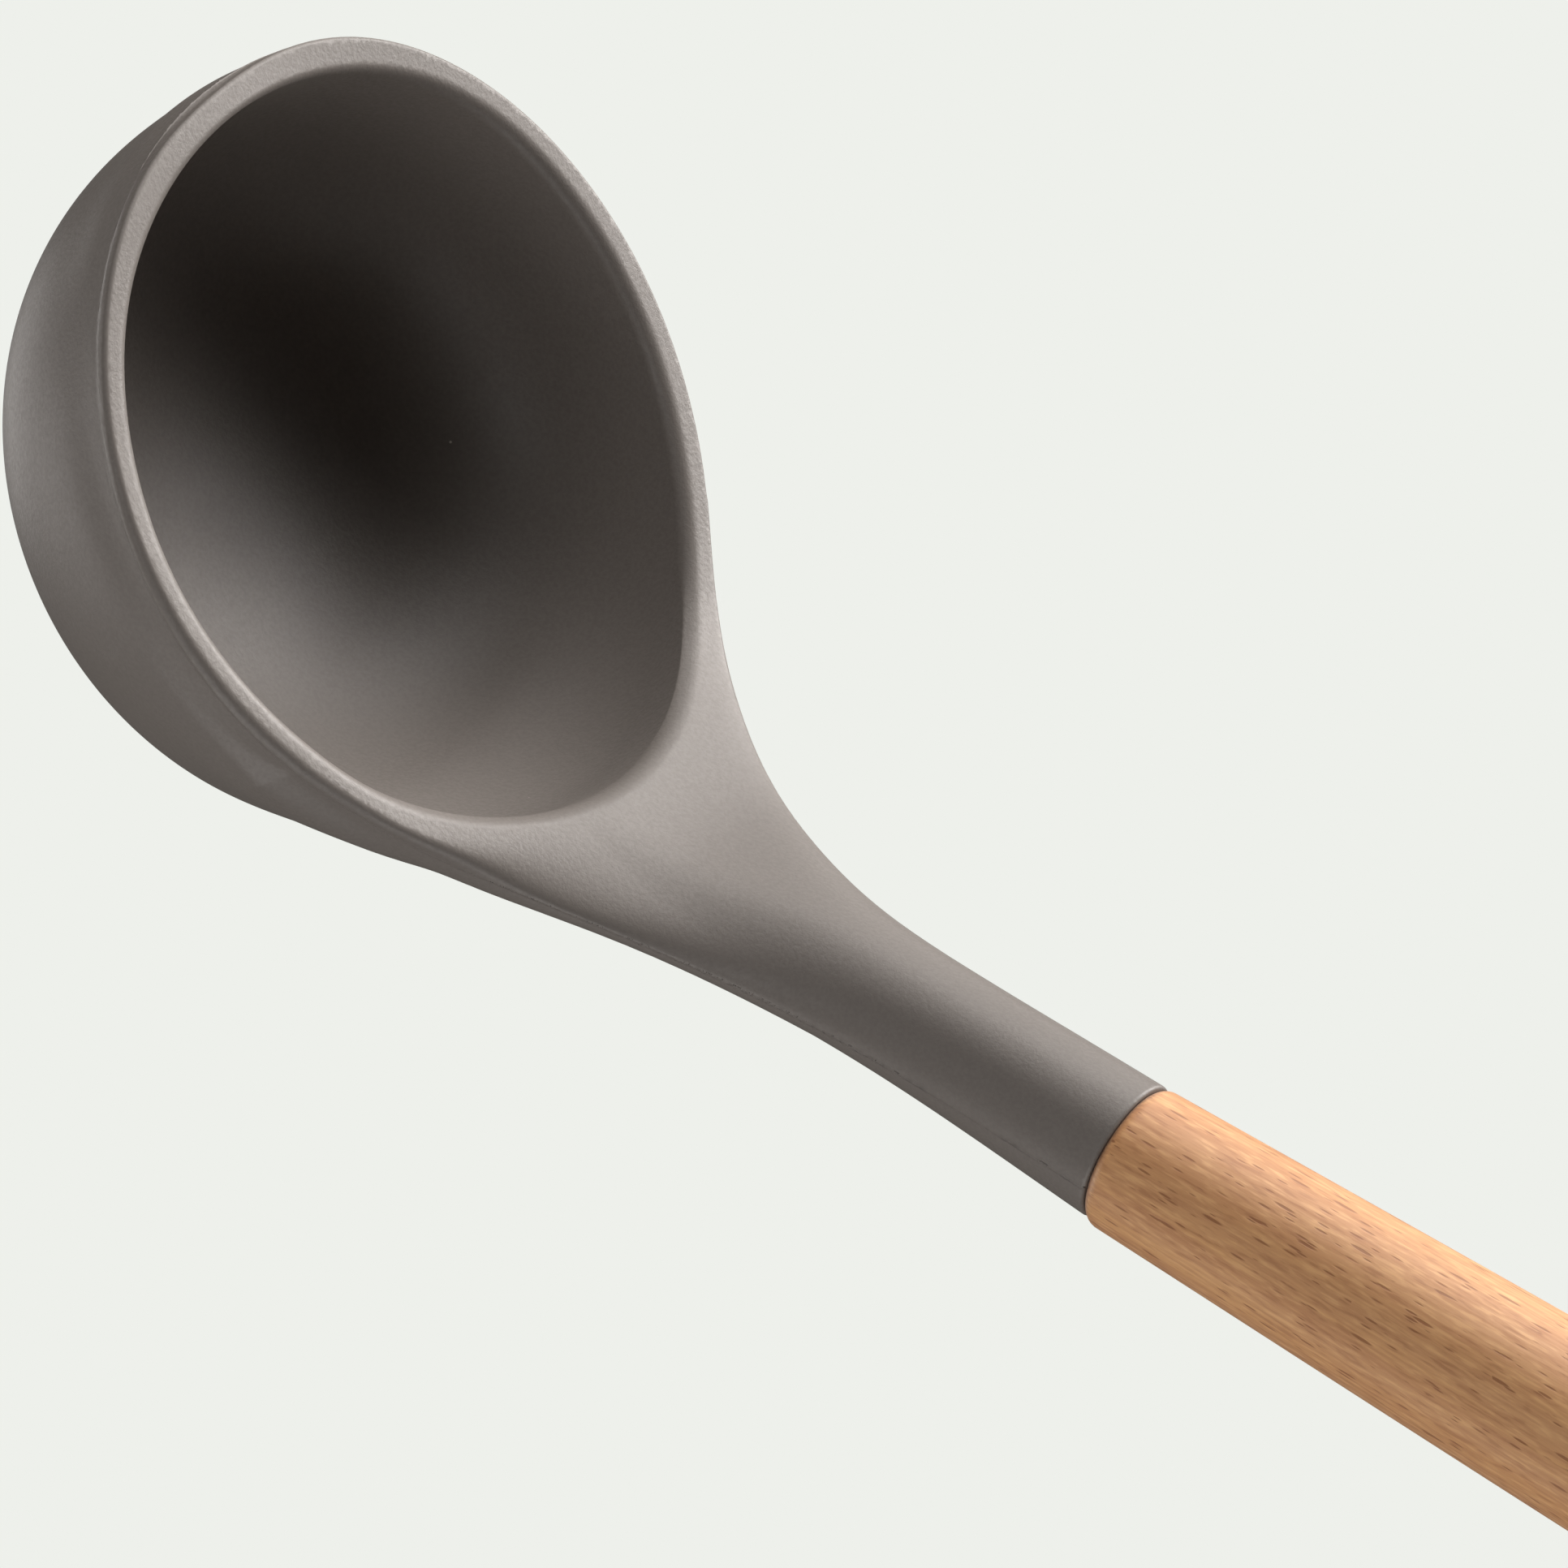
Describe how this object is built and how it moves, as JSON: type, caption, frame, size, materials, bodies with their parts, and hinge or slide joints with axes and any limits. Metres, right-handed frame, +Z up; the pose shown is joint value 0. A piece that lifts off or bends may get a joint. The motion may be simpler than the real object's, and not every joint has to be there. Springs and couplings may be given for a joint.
{
  "type": "soup ladle",
  "caption": "Ladle with a deep round silicone bowl whose rim sweeps up into a tapering neck, fixed by a hidden tang to a turned wooden handle with a hanging hole; for serving soup.",
  "frame": {"origin": "on the table, under the middle of the ladle's box, with the ladle lying on its bowl and its handle", "axes": "+X from the bowl's front lip to the handle's rear end, +Z up from the table, the XZ plane is the plane of symmetry"},
  "size_m": [0.3218, 0.09, 0.0805],
  "materials": {
    "silicone": "satin taupe-grey silicone with a fine moulded grain",
    "core": "moulded nylon, hidden",
    "glue": "cured epoxy, hidden",
    "beech": "sanded and oiled beech, grain along the handle"
  },
  "bodies": {
    "root": {"silicone_head": "silicone", "core_insert": "core", "tang_glue": "glue", "beech_handle": "beech"}
  },
  "joints": []
}
